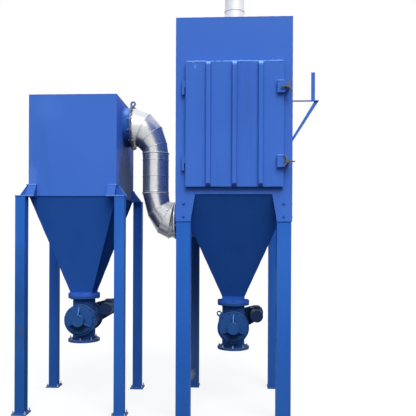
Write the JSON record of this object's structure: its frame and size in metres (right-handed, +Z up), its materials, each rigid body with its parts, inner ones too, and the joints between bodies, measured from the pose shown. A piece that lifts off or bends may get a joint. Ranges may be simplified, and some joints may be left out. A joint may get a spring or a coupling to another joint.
{
  "type": "two-stage dust separator plant",
  "caption": "Dust collection plant: a box separator joined by a gored duct to a taller filter housing with a clamped door, both on legs with hoppers and rotary valves.",
  "frame": {"origin": "on the floor, under the middle of the whole plant's bounding box", "axes": "+Z up, +X from the separator to the filter housing, -Y out of the side with the door"},
  "size_m": [2.68, 1.3494, 3.904],
  "materials": {
    "vessel_paint": "satin blue enamel over plate",
    "frame_paint": "satin blue enamel on tubes, scuffed at the feet",
    "valve_paint": "dull blue paint over castings",
    "drive_paint": "dark blue paint on motor and guard",
    "galvanised_sheet": "spangled zinc, rolled and seamed",
    "rotor_steel": "dusty bare steel",
    "knob_metal": "worn grey metal",
    "seal_rubber": "matt black rubber"
  },
  "bodies": {
    "root": {"separator_front_wall": "vessel_paint", "separator_back_wall": "vessel_paint", "separator_left_wall": "vessel_paint", "separator_right_wall": "vessel_paint", "separator_roof": "vessel_paint", "separator_hopper": "vessel_paint", "separator_inlet_spigot": "vessel_paint", "separator_outlet_spigot": "vessel_paint", "separator_leg_front_left": "frame_paint", "separator_leg_front_right": "frame_paint", "separator_leg_back_left": "frame_paint", "separator_leg_back_right": "frame_paint", "separator_corner_brackets": "vessel_paint", "separator_valve_casing": "valve_paint", "separator_valve_covers": "valve_paint", "separator_valve_rotor": "rotor_steel", "separator_valve_drive": "drive_paint", "duct_upper_elbow": "galvanised_sheet", "duct_riser": "galvanised_sheet", "duct_lower_elbow": "galvanised_sheet", "filter_front_top": "vessel_paint", "filter_front_bottom": "vessel_paint", "filter_front_left": "vessel_paint", "filter_front_right": "vessel_paint", "filter_left_wall": "vessel_paint", "filter_right_wall": "vessel_paint", "filter_back_wall": "vessel_paint", "filter_roof": "vessel_paint", "filter_roof_outlet": "galvanised_sheet", "filter_hopper": "vessel_paint", "filter_inlet_spigot": "vessel_paint", "filter_corner_skirts": "vessel_paint", "filter_leg_front_left": "frame_paint", "filter_leg_front_right": "frame_paint", "filter_leg_back_left": "frame_paint", "filter_leg_back_right": "frame_paint", "filter_valve_casing": "valve_paint", "filter_valve_covers": "valve_paint", "filter_valve_rotor": "rotor_steel", "filter_valve_drive": "drive_paint", "door_hinge_pintles": "vessel_paint", "clamp_anchors": "vessel_paint", "side_bracket": "vessel_paint"},
    "door": {"door_panel": "vessel_paint", "door_ribs": "vessel_paint", "door_seal": "seal_rubber", "door_hinge_sleeves": "vessel_paint", "door_clamp_lugs": "vessel_paint"},
    "lower_clamp_knob": {"clamp_knob_lower": "knob_metal"},
    "upper_clamp_knob": {"clamp_knob_upper": "knob_metal"}
  },
  "joints": [
    {"name": "door_swing", "type": "hinge", "parent": "root", "child": "door", "pos_m": [0.191, -0.59935, 2.53], "axis": [0, 0, -1], "range_deg": [0, 130]},
    {"name": "lower_clamp_turn", "type": "hinge", "parent": "door", "child": "lower_clamp_knob", "pos_m": [1.066, -0.64435, 2.221], "axis": [0, -1, 0], "continuous": true},
    {"name": "upper_clamp_turn", "type": "hinge", "parent": "door", "child": "upper_clamp_knob", "pos_m": [1.066, -0.64435, 2.844], "axis": [0, -1, 0], "continuous": true}
  ]
}
